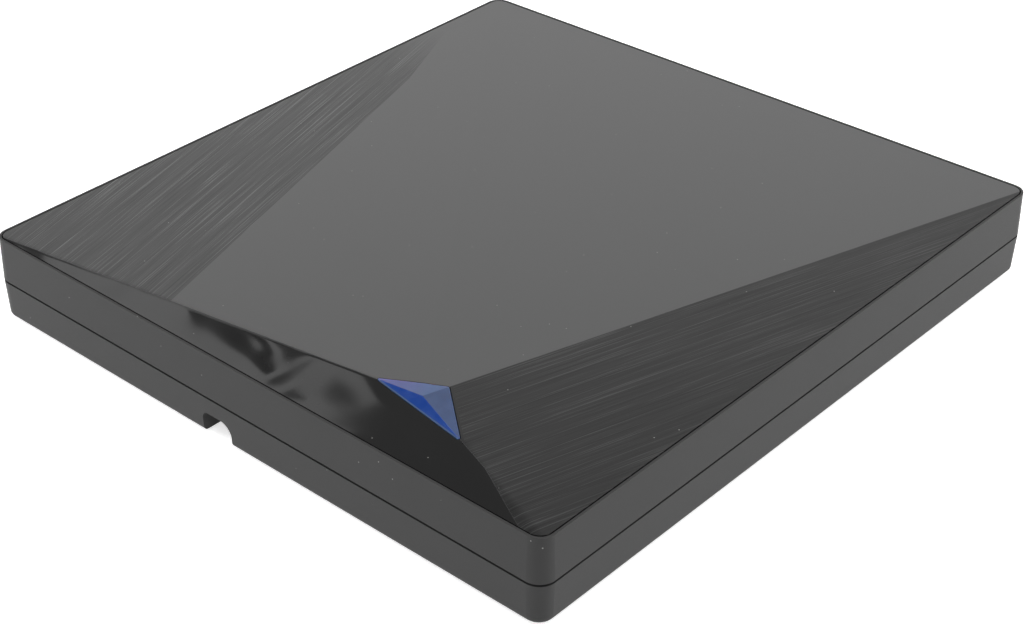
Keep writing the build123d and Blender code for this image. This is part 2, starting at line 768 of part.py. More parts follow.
pillar_radius = 1.4
pillar_screw = 0.8
damper_low_z = frame_z - damper_drop

# Motor, sled and lens along the slide
bar_start = rotor_hole + 1.4
stator_trim = bar_start - 0.4
motor_end = bar_start - 7.6
motor_start = motor_end - motor_length
sled_window_start = bar_start + bar_size
sled_window_end = outer_bar_start - 1.6
sled_end_gap = 1.4
lens_start = sled_window_start + 0.9 + sled_inner
lens_travel = sled_window_end - sled_end_gap - sled_outer - lens_start
sled_front = lens_start - sled_inner
arm_length = 4.0
arm_reach = screw_offset + 0.3
screw_tab = 2.0
screw_end = sled_front + lens_travel + arm_length + 4.5
bar_low_z = tray_under_z + 0.4

# Eject button and the mechanism behind the bezel
button_from_side = 16.0
button_x = drive_width / 2 - button_from_side
button_size = (8.0, 2.2)
button_z = bezel_z + 2.6
switch_gap = 0.1
button_gap = 0.1
button_edge = 0.25
button_corner = 0.8
button_travel = 0.7
button_pocket = 1.8
button_flange = (9.4, 3.6, 0.8)
button_stem = (3.0, 1.6)
switch_y = tray_front_y + front_skirt + switch_gap
pinhole_from_button = 18.0
pinhole_x = button_x - pinhole_from_button
pinhole_radius = 0.6

with BuildPart() as disc_tray:
    with BuildSketch(Plane.XY.offset(tray_floor_z)):
        with Locations((0, tray_mid_y)):
            Rectangle(2 * tray_half, tray_length)
    extrude(amount=tray_top_z - tray_floor_z)
    # corners cored out from below, round the disc well
    with BuildSketch(Plane.XY.offset(tray_floor_z)):
        with Locations((0, tray_mid_y)):
            Rectangle(2 * (tray_half - corner_core), tray_length - 2 * corner_core)
        with Locations((0, hub_y)):
            Circle(disc_well_radius + corner_core, mode=Mode.SUBTRACT)
    extrude(amount=tray_top_z - tray_floor_z - corner_core, mode=Mode.SUBTRACT)
    # disc wells for both sizes of disc
    with BuildSketch(Plane.XY.offset(disc_floor_z)):
        with Locations((0, hub_y)):
            Circle(disc_well_radius)
    extrude(amount=disc_well_depth, mode=Mode.SUBTRACT)
    with BuildSketch(Plane.XY.offset(disc_floor_z - small_disc_depth)):
        with Locations((0, hub_y)):
            Circle(small_disc_radius)
    extrude(amount=small_disc_depth, mode=Mode.SUBTRACT)
    # skirts at the front and along the sides
    with BuildSketch(Plane.XY.offset(tray_under_z)):
        with Locations([(side * (skirt_inner + skirt_outer) / 2, tray_mid_y) for side in (-1, 1)]):
            Rectangle(tray_skirt, tray_length)
        with Locations((0, tray_front_y + front_skirt / 2)):
            Rectangle(2 * skirt_inner, front_skirt)
    extrude(amount=tray_floor_z - tray_under_z)
    # slots for the slide rails
    with BuildSketch(Plane.XZ.offset(-tray_rear_y)):
        slot_inner = rail_inner - guide_gap
        with Locations([(side * (slot_inner + skirt_outer) / 2, rail_z) for side in (-1, 1)]):
            Rectangle(skirt_outer - slot_inner, rail_thickness + 2 * guide_gap)
    extrude(amount=tray_length, mode=Mode.SUBTRACT)
    # window over the traverse unit
    with BuildSketch(slide_plane(tray_floor_z)):
        with Locations(((window_inner + window_outer) / 2, 0)):
            Rectangle(window_outer - window_inner, 2 * window_half)
        Circle(window_round, mode=Mode.INTERSECT)
    extrude(amount=tray_floor, mode=Mode.SUBTRACT)
    # pillars for the dampers, with holes for their screws
    with BuildSketch(slide_plane(damper_low_z)):
        with Locations(damper_places):
            Circle(pillar_radius)
    extrude(amount=tray_floor_z - damper_low_z)
    with BuildSketch(slide_plane(damper_low_z)):
        with Locations(damper_places):
            Circle(pillar_screw)
    extrude(amount=tray_floor_z - damper_low_z, mode=Mode.SUBTRACT)
    # way through the front skirt for the button's stem and the pin hole
    with BuildSketch(Plane.XZ.offset(-(tray_front_y + front_skirt))):
        with Locations((button_x, button_z)):
            Rectangle(button_stem[0] + 2 * button_gap, button_stem[1] + 2 * button_gap)
        with Locations((pinhole_x, button_z)):
            Circle(pinhole_radius)
    extrude(amount=front_skirt, mode=Mode.SUBTRACT)

bezel_round = 0.4
with BuildPart() as tray_bezel:
    with BuildSketch(Plane.XZ.offset(-bezel_back_y)):
        with Locations((0, (bezel_z + bezel_top_z) / 2)):
            Rectangle(drive_width, bezel_height)
    extrude(amount=bezel_thickness)
    fillet(tray_bezel.faces().sort_by(Axis.Y)[0].edges(), bezel_round)
    with BuildSketch(Plane.XZ.offset(-bezel_back_y)):
        with Locations((button_x, button_z)):
            Rectangle(button_size[0] + 2 * button_gap, button_size[1] + 2 * button_gap)
        with Locations((pinhole_x, button_z)):
            Circle(pinhole_radius)
    extrude(amount=bezel_thickness, mode=Mode.SUBTRACT)
    with BuildSketch(Plane.XZ.offset(-bezel_back_y)):
        with Locations((button_x, button_z)):
            Rectangle(button_flange[0] + 2 * button_gap, button_flange[1] + 2 * button_gap)
    extrude(amount=button_pocket, mode=Mode.SUBTRACT)

flange_front_y = bezel_back_y - button_pocket + 0.05
with BuildPart() as eject_button:
    with BuildSketch(Plane.XZ.offset(-flange_front_y)):
        with Locations((button_x, button_z)):
            RectangleRounded(button_size[0], button_size[1], button_corner)
    extrude(amount=flange_front_y - bezel_front_y)
    chamfer(eject_button.faces().sort_by(Axis.Y)[0].edges(), button_edge)
    with BuildSketch(Plane.XZ.offset(-flange_front_y)):
        with Locations((button_x, button_z)):
            Rectangle(button_flange[0], button_flange[1])
    extrude(amount=-button_flange[2])
    with BuildSketch(Plane.XZ.offset(-flange_front_y)):
        with Locations((button_x, button_z)):
            Rectangle(*button_stem)
    extrude(amount=-(switch_y - button_travel - switch_gap - flange_front_y))

# Small board with the eject switch, under the tray floor
switch_sheet = 0.8
switch_size = (4.0, 3.4, 2.8)
switch_board_size = (12.0, 6.0)
with BuildPart() as switch_board:
    with BuildSketch(Plane.XY.offset(tray_floor_z - switch_sheet)):
        with Locations((button_x + 1, switch_y + switch_board_size[1] / 2)):
            Rectangle(*switch_board_size)
    extrude(amount=switch_sheet)
    with BuildSketch(Plane.XY.offset(tray_floor_z - switch_sheet - switch_size[2])):
        with Locations((button_x, switch_y + switch_size[1] / 2)):
            Rectangle(switch_size[0], switch_size[1])
    extrude(amount=switch_size[2])

# Traverse frame: a steel plate with two end bars that hold the rods and the lead screw
with BuildPart() as traverse_frame:
    with BuildSketch(slide_plane(frame_z)):
        with BuildLine():
            Polyline(
                (frame_back, -frame_half),
                (frame_taper_start, -frame_half),
                (frame_end, -frame_end_half),
                (frame_end, frame_end_half),
                (frame_taper_start, frame_half),
                (frame_back, frame_half),
                close=True,
            )
        make_face()
        Circle(rotor_hole, mode=Mode.SUBTRACT)
        with Locations(((sled_window_start + sled_window_end) / 2, 0)):
            Rectangle(sled_window_end - sled_window_start, 2 * sled_window_half, mode=Mode.SUBTRACT)
        with Locations(((motor_start + motor_end) / 2, screw_offset)):
            Rectangle(motor_length + 0.6, 2 * motor_radius + 0.6, mode=Mode.SUBTRACT)
        with Locations(damper_places):
            Circle(damper_hole, mode=Mode.SUBTRACT)
    extrude(amount=frame_sheet)
    with BuildSketch(slide_plane(bar_low_z)):
        with Locations((bar_start + bar_size / 2, (screw_offset + 2 - rod_offset - 2.5) / 2)):
            Rectangle(bar_size, screw_offset + 2 + rod_offset + 2.5)
        with Locations((outer_bar_start + bar_size / 2, 0)):
            Rectangle(bar_size, 2 * rod_offset + 2)
        tab_outer = screw_offset + lead_screw_radius + 1.0
        with Locations((screw_end + screw_tab / 2, (sled_window_half + tab_outer) / 2)):
            Rectangle(screw_tab, tab_outer - sled_window_half)
    extrude(amount=frame_z - bar_low_z)
    with BuildSketch(slide_plane(stator_z + stator_sheet)):
        with PolarLocations(leg_circle, 3, start_angle=90, angular_range=180, endpoint=True):
            Rectangle(*leg_size)
    extrude(amount=frame_z - stator_z - stator_sheet)
    # bores for the rods and the lead screw
    bore_plane = Plane(
        origin=(slide_dir[0] * bar_start, hub_y + slide_dir[1] * bar_start, 0),
        x_dir=(-slide_dir[1], slide_dir[0], 0),
        z_dir=slide_dir,
    )
    with BuildSketch(bore_plane):
        with Locations((rod_offset, rod_z), (-rod_offset, rod_z)):
            Circle(rod_radius + rod_clearance)
    extrude(amount=outer_bar_start + bar_size - bar_start, mode=Mode.SUBTRACT)
    with BuildSketch(bore_plane):
        with Locations((screw_offset, motor_z)):
            Circle(lead_screw_radius + rod_clearance)
    extrude(amount=screw_end + screw_tab - bar_start, mode=Mode.SUBTRACT)

with BuildPart() as main_guide_rod:
    with BuildSketch(bore_plane):
        with Locations((rod_offset, rod_z)):
            Circle(rod_radius)
    extrude(amount=outer_bar_start + bar_size - bar_start)
with BuildPart() as side_guide_rod:
    with BuildSketch(bore_plane):
        with Locations((-rod_offset, rod_z)):
            Circle(rod_radius)
    extrude(amount=outer_bar_start + bar_size - bar_start)

# Lead screw, left plain, and the small motor that turns it
screw_front = motor_end - bar_start
with BuildPart() as lead_screw:
    with BuildSketch(bore_plane.offset(screw_front + 0.3)):
        with Locations((screw_offset, motor_z)):
            Circle(lead_screw_radius)
    extrude(amount=screw_end + screw_tab - motor_end - 0.3)

with BuildPart() as sled_motor:
    with BuildSketch(bore_plane.offset(motor_start - bar_start)):
        with Locations((screw_offset, motor_z)):
            Circle(motor_radius)
    extrude(amount=motor_end - motor_start)

# Rubber dampers in the frame's holes, and the screws that hold them to the tray
with BuildPart() as dampers:
    with BuildSketch(slide_plane(damper_low_z)):
        with Locations(damper_places):
            Circle(damper_flange)
    extrude(amount=frame_z - damper_low_z)
    with BuildSketch(slide_plane(frame_z)):
        with Locations(damper_places):
            Circle(damper_body)
    extrude(amount=tray_floor_z - frame_z)
    with BuildSketch(slide_plane(damper_low_z)):
        with Locations(damper_places):
            Circle(pillar_radius + rod_clearance)
    extrude(amount=tray_floor_z - damper_low_z, mode=Mode.SUBTRACT)

damper_screw_head = 0.8
with BuildPart() as damper_screws:
    with BuildSketch(slide_plane(damper_low_z)):
        with Locations(damper_places):
            Circle(damper_body)
    extrude(amount=-damper_screw_head)
    with BuildSketch(slide_plane(damper_low_z)):
        with Locations(damper_places):
            Circle(pillar_screw - rod_clearance)
    extrude(amount=1.5)

# Cover plate over the traverse unit, with the hole for the turntable and the slot for the lens
slot_half = 7.0
slot_inner_end = 10.0
with BuildPart() as traverse_cover:
    with BuildSketch(slide_plane(frame_top_z)):
        with Locations(((window_inner + window_outer) / 2, 0)):
            Rectangle(
                window_outer - window_inner - 2 * window_clear,
                2 * (window_half - window_clear),
            )
        Circle(window_round - window_clear, mode=Mode.INTERSECT)
        Circle(rotor_hole, mode=Mode.SUBTRACT)
        with Locations(((slot_inner_end + window_outer) / 2, 0)):
            Rectangle(window_outer - slot_inner_end, 2 * slot_half, mode=Mode.SUBTRACT)
    extrude(amount=cover_plate_sheet)

# Spindle: the stator plate hangs from the frame's legs, and the rotor spins in its bearing
shaft_radius = 1.0
sleeve_radius = 2.5
sleeve_drop = 0.7
disc_z = disc_floor_z + disc_lift
rotor_low_z = stator_z + stator_sheet + 0.4
hub_top_z = disc_z + 1.75
with BuildPart() as spindle_stator:
    with BuildSketch(slide_plane(stator_z)):
        Circle(stator_radius)
        with Locations((stator_trim + stator_radius, 0)):
            Rectangle(2 * stator_radius, 2 * stator_radius, mode=Mode.SUBTRACT)
    extrude(amount=stator_sheet)
    with BuildSketch(slide_plane(stator_z - sleeve_drop)):
        Circle(sleeve_radius)
    extrude(amount=sleeve_drop)
    with BuildSketch(slide_plane(stator_z - sleeve_drop)):
        Circle(shaft_radius + rod_clearance)
    extrude(amount=sleeve_drop + stator_sheet, mode=Mode.SUBTRACT)

pad_inner = hub_radius + 2.25
pad_outer = turntable_radius - 0.5
pad_height = 0.4
ball_radius = 0.9
ball_reach = hub_radius - ball_radius + 0.25
ball_z = disc_z + 1.1
with BuildPart() as turntable:
    with BuildSketch(Plane.XZ.offset(-hub_y)):
        with BuildLine():
            Polyline(
                (0, stator_z - sleeve_drop + 0.1),
                (shaft_radius, stator_z - sleeve_drop + 0.1),
                (shaft_radius, rotor_low_z),
                (turntable_radius, rotor_low_z),
                (turntable_radius, disc_z - pad_height),
                (hub_radius, disc_z - pad_height),
                (hub_radius, hub_top_z - 0.6),
                (hub_radius - 0.6, hub_top_z),
                (0, hub_top_z),
                close=True,
            )
        make_face()
    revolve(axis=Axis((0, hub_y, 0), (0, 0, 1)))
    with BuildSketch(slide_plane(ball_z)):
        with PolarLocations(ball_reach, 3):
            Rectangle(2 * ball_radius + 0.2, 2 * ball_radius + 0.2)
    extrude(amount=ball_radius + 0.1, both=True, mode=Mode.SUBTRACT)

with BuildPart() as turntable_pad:
    with BuildSketch(Plane.XY.offset(disc_z - pad_height)):
        with Locations((0, hub_y)):
            Circle(pad_outer)
            Circle(pad_inner, mode=Mode.SUBTRACT)
    extrude(amount=pad_height)

with BuildPart() as clamping_balls:
    ball_spots = PolarLocations(ball_reach, 3).local_locations
    for spot in ball_spots:
        with BuildSketch(slide_plane(ball_z - ball_radius)):
            with Locations(spot.position):
                Circle(ball_radius)
        extrude(amount=2 * ball_radius)

# Pickup sled on its two rods, with an arm to the lead screw, and the lens above it
sled_low_z = tray_under_z + 0.2
sled_top_z = frame_top_z - 0.3
lens_holder_radius = 3.4
lens_radius = 2.2
holder_height = 0.9
lens_height = 0.5
with BuildPart() as pickup_sled:
    with BuildSketch(slide_plane(sled_low_z)):
        with Locations((sled_front + (sled_inner + sled_outer) / 2, 0)):
            Rectangle(sled_inner + sled_outer, 2 * sled_half)
    extrude(amount=sled_top_z - sled_low_z)
    with BuildSketch(slide_plane(sled_low_z)):
        with Locations((sled_front + arm_length / 2, (sled_half + arm_reach) / 2)):
            Rectangle(arm_length, arm_reach - sled_half)
    extrude(amount=frame_z - 0.2 - sled_low_z)
    with BuildSketch(slide_plane(sled_top_z)):
        with Locations((lens_start, 0)):
            Circle(lens_holder_radius)
    extrude(amount=holder_height)
    with BuildSketch(bore_plane):
        with Locations((rod_offset, rod_z), (-rod_offset, rod_z)):
            Circle(rod_radius + rod_clearance)
        with Locations((screw_offset, motor_z)):
            Circle(lead_screw_radius + rod_clearance)
    extrude(amount=lens_start + sled_outer, mode=Mode.SUBTRACT)
    with BuildSketch(slide_plane(sled_top_z + holder_height)):
        with Locations((lens_start, 0)):
            Circle(lens_radius + 0.1)
    extrude(amount=-lens_height, mode=Mode.SUBTRACT)

with BuildPart() as objective_lens:
    with BuildSketch(slide_plane(sled_top_z + holder_height - lens_height)):
        with Locations((lens_start, 0)):
            Circle(lens_radius)
    extrude(amount=lens_height + 0.2)
    chamfer(objective_lens.faces().sort_by(Axis.Z)[-1].edges(), 0.15)

# Latch lever on the tray, swung clear of its post, and the solenoid that releases it
pivot_at = (latch_post_at[0] + 7.0, latch_post_at[1] + 11.0)
pivot_radius = 1.0
lever_z = tray_under_z + 0.2
lever_sheet = 1.4
lever_width = 2.6
hook_reach = 8.0
with BuildPart() as latch_lever:
    with BuildSketch(Plane.XY.offset(lever_z)):
        with BuildLine():
            Polyline(
                (pivot_at[0], pivot_at[1] + 4.0),
                pivot_at,
                (pivot_at[0] - 0.6, pivot_at[1] - hook_reach),
                (pivot_at[0] - 3.2, pivot_at[1] - hook_reach - 0.6),
            )
        trace(line_width=lever_width / 2)
        with Locations(pivot_at):
            Circle(lever_width)
    extrude(amount=lever_sheet)
    with BuildSketch(Plane.XY.offset(lever_z)):
        with Locations(pivot_at):
            Circle(pivot_radius + rod_clearance)
    extrude(amount=lever_sheet, mode=Mode.SUBTRACT)

with BuildPart() as latch_pivot:
    with BuildSketch(Plane.XY.offset(lever_z - 0.1)):
        with Locations(pivot_at):
            Circle(pivot_radius)
    extrude(amount=tray_floor_z - lever_z + 0.1)

solenoid_size = (5.0, 9.0, 3.4)
with BuildPart() as latch_solenoid:
    with BuildSketch(Plane.XY.offset(tray_floor_z - solenoid_size[2])):
        with Locations((pivot_at[0] + 6.2, pivot_at[1] - 4.0)):
            RectangleRounded(solenoid_size[0], solenoid_size[1], 1.2)
    extrude(amount=solenoid_size[2])

# Flat cable from the controller board to the tray: along the pan, round a bend, back under the tray
cable_sheet = 0.15
cable_x = skirt_inner - 6.6
cable_width = 10.0
cable_low_z = pan_floor_z + 0.15
cable_high_z = tray_floor_z - 0.2
cable_bend_y = hub_y - 6.4
cable_board_y = board_front_y + 3.0
cable_tray_y = tray_rear_y - 6.4
cable_board_z = main_board_z + main_board_sheet + cable_sheet
with BuildPart() as tray_flex_cable:
    with BuildSketch(Plane.YZ.offset(cable_x - cable_width / 2)):
        with BuildLine():
            Polyline(
                (cable_board_y, cable_board_z),
                (board_front_y - 1.0, cable_board_z),
                (board_front_y - 4.0, cable_low_z),
                (cable_bend_y, cable_low_z),
            )
            bend_radius = (cable_high_z - cable_low_z) / 2
            ThreePointArc(
                (cable_bend_y, cable_low_z),
                (cable_bend_y - bend_radius, cable_low_z + bend_radius),
                (cable_bend_y, cable_high_z),
            )
            Polyline((cable_bend_y, cable_high_z), (cable_tray_y, cable_high_z))
        trace(line_width=cable_sheet)
    extrude(amount=cable_width)

# Every finished piece is labelled with its node name and written to its own file
pieces = {
    "lower_shell": lower_shell,
    "upper_frame": upper_frame,
    "top_plate": top_plate,
    "indicator_gem": indicator_gem,
    "led_board": led_board,
    "rubber_feet": rubber_feet,
    "housing_screws": housing_screws,
    "cord_gland": cord_gland,
    "drive_base_pan": pan_drilled,
    "drive_top_cover": cover_drilled,
    "cover_screws": cover_screws,
    "latch_post": latch_post,
    "main_board": main_board,
    "drive_socket": drive_socket,
    "bridge_board": bridge_board,
    "bridge_plug": bridge_plug,
    "cord_header": cord_header,
    "board_screws": board_screws,
    "left_guide": left_guide,
    "right_guide": right_guide,
    "left_slide_rail": left_slide_rail,
    "right_slide_rail": right_slide_rail,
    "disc_tray": disc_tray,
    "tray_bezel": tray_bezel,
    "eject_button": eject_button,
    "switch_board": switch_board,
    "traverse_frame": traverse_frame,
    "traverse_cover": traverse_cover,
    "dampers": dampers,
    "damper_screws": damper_screws,
    "main_guide_rod": main_guide_rod,
    "side_guide_rod": side_guide_rod,
    "lead_screw": lead_screw,
    "sled_motor": sled_motor,
    "spindle_stator": spindle_stator,
    "turntable": turntable,
    "turntable_pad": turntable_pad,
    "clamping_balls": clamping_balls,
    "pickup_sled": pickup_sled,
    "objective_lens": objective_lens,
    "latch_lever": latch_lever,
    "latch_pivot": latch_pivot,
    "latch_solenoid": latch_solenoid,
    "tray_flex_cable": tray_flex_cable,
}
os.makedirs("parts", exist_ok=True)
for node_name, piece in pieces.items():
    piece.part.label = node_name
    export_step(piece.part, f"parts/{node_name}.step")
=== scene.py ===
import json
import math

import bmesh
import bpy
from mathutils import Matrix, Vector


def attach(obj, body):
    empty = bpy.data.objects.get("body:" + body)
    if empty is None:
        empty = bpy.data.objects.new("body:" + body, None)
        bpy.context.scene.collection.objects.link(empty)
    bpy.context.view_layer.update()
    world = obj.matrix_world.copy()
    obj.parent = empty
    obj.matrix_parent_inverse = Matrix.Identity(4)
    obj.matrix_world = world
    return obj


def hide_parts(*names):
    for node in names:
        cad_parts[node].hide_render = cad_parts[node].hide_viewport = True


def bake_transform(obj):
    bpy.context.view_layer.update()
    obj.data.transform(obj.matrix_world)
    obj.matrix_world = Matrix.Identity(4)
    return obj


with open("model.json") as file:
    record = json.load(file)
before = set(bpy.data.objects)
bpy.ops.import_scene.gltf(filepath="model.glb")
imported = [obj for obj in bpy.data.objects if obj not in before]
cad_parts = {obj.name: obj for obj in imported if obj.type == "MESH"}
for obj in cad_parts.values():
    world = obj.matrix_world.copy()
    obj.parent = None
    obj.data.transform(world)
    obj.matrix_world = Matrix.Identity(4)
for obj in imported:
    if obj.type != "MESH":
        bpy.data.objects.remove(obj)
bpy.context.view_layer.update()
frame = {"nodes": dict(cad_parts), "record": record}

# The camera, as fitted to the corners, seam and rim in the photograph. Metres and degrees.
camera_place = Vector((-0.215774, 0.248169, 0.208207))
camera_azimuth = 224.212
camera_elevation = 34.637
camera_roll = 1.387
focal_pixels = 2007.641
principal_x = 421.594
principal_y = 375.083
picture_width = 1024
picture_height = 624

# Places on the lid that its finishes follow, in metres
crown = Vector((-0.0310, 0.0581))
lid_half_x = 0.06677
lid_half_y = 0.07027
near_bend = Vector((-0.0500, 0.0642))
near_end = Vector((-0.0640, 0.0712))
gem_corners = [
    Vector((-0.02078, 0.05937)),
    Vector((-0.04359, 0.06238)),
    Vector((-0.03240, 0.05309)),
]
brushed_edge = [Vector((0.0235, 0.0650)), Vector((0.0535, -0.0270)), Vector((0.0690, -0.0610))]
brushed_fade = (-0.050, -0.030)
right_streak_degrees = 106.7
left_streak_degrees = 74.6
# width of the painted shade beside the gem and of the painted highlight along its edge
painted_gem_edge_width = 0.0004

# The hub's axis (x, y), and the painted shade line where the frame meets the lower shell: half sizes
# in x and y, middle height and half height
hub_place = (0.0, -0.0066)
seam_shade_box = (0.0674, 0.0709, 0.00905, 0.00022)

# Fine bevels where the case's outer edges catch the light
bevel_widths = {
    "upper_frame": 0.00010,
    "lower_shell": 0.00010,
    "tray_bezel": 0.00010,
}

# Shader values that several finishes share
plastic_grain = 0.00002
plastic_mottle = 0.06
plastic_dust_tone = (0.30, 0.30, 0.29)
lid_dust_tone = (0.26, 0.26, 0.25)
dust_cell_scale = 660.0
metal_line_scale = 3500.0

# The film cable's line, seen from the side as (y, z): board, dip, fold and run under the tray
film_half_width = 0.005
film_half_sheet = 0.000075
film_x = 0.051
fold_y = -0.013
film_low = 0.00765
film_high = 0.0117
film_start = [(0.0308, 0.00915), (0.0268, 0.00915), (0.0238, film_low)]
film_tray_y = 0.050
film_conductor_pitch = 0.0005

# The steel balls in the hub, and the lead screw with its two grooves, along its own axis
ball_reach = 0.0067
ball_height = 0.0149
ball_radius = 0.0009
ball_degrees = (-45, 75, 195)
screw_axis = Vector((math.sqrt(0.5), -math.sqrt(0.5), 0))
screw_across = Vector((math.sqrt(0.5), math.sqrt(0.5), 0))
screw_height = 0.00975
screw_offset = 0.017
screw_radius = 0.0009
screw_low = 0.0073
screw_high = 0.060034
screw_starts = 2
screw_turn_length = 0.0030
screw_corners = 16
screw_step = 0.00025
thread_low = 0.0176
thread_high = 0.0570
thread_depth = 0.00016
thread_half_width = 0.00032

# The table is lit up to white for the camera. The lid's gloss mirrors the panel lamp and the dark
# card before it, which both face this place on it.
table_lift = 0.68
table_half_size = 4.0
gloss_place = (-0.015, 0.066, 0.019)
lamps = {
    "key": {"place": (-0.35, 0.30, 0.85), "target": (0, 0, 0), "size": (0.6, 0.6), "watts": 5.0},
    "far": {"place": (0.80, -0.95, 0.75), "target": (0, 0, 0), "size": (1.3, 0.9), "watts": 3.7},
    "panel": {
        "place": (1.046, -0.205, 1.157), "target": gloss_place, "size": (0.265, 0.325), "watts": 0.46
    },
    "left_end": {
        "place": (0.40, 0.36, 0.22), "target": (0.06, 0.07, 0.01), "size": (0.25, 0.25), "watts": 1.6
    },
    "right_end": {
        "place": (-0.34, -0.40, 0.22), "target": (-0.07, -0.06, 0.01), "size": (0.25, 0.25), "watts": 1.5
    },
}
flag_place = (0.833, -0.217, 0.976)
flag_width = 0.048
flag_length = 0.100
flag_tilt_degrees = -13


def set_camera():
    """The camera in the fitted place, turned and shifted so that it frames the photograph."""
    turn = math.radians(camera_azimuth)
    lift = math.radians(camera_elevation)
    roll = math.radians(camera_roll)
    back = Vector((math.sin(turn) * math.cos(lift), -math.cos(turn) * math.cos(lift), math.sin(lift)))
    right = (-back).cross(Vector((0, 0, 1))).normalized()
    down = (-back).cross(right)
    right_rolled = right * math.cos(roll) + down * math.sin(roll)
    down_rolled = down * math.cos(roll) - right * math.sin(roll)
    data = bpy.data.cameras.new("camera")
    data.sensor_width = 36.0
    data.lens = focal_pixels / picture_width * data.sensor_width
    data.shift_x = (picture_width / 2 - principal_x) / picture_width
    data.shift_y = (principal_y - picture_height / 2) / picture_width
    data.clip_start = 0.01
    camera = bpy.data.objects.new("camera", data)
    rotation = Matrix((right_rolled, -down_rolled, back)).transposed()
    camera.matrix_world = Matrix.Translation(camera_place) @ rotation.to_4x4()
    bpy.context.scene.collection.objects.link(camera)
    bpy.context.scene.camera = camera


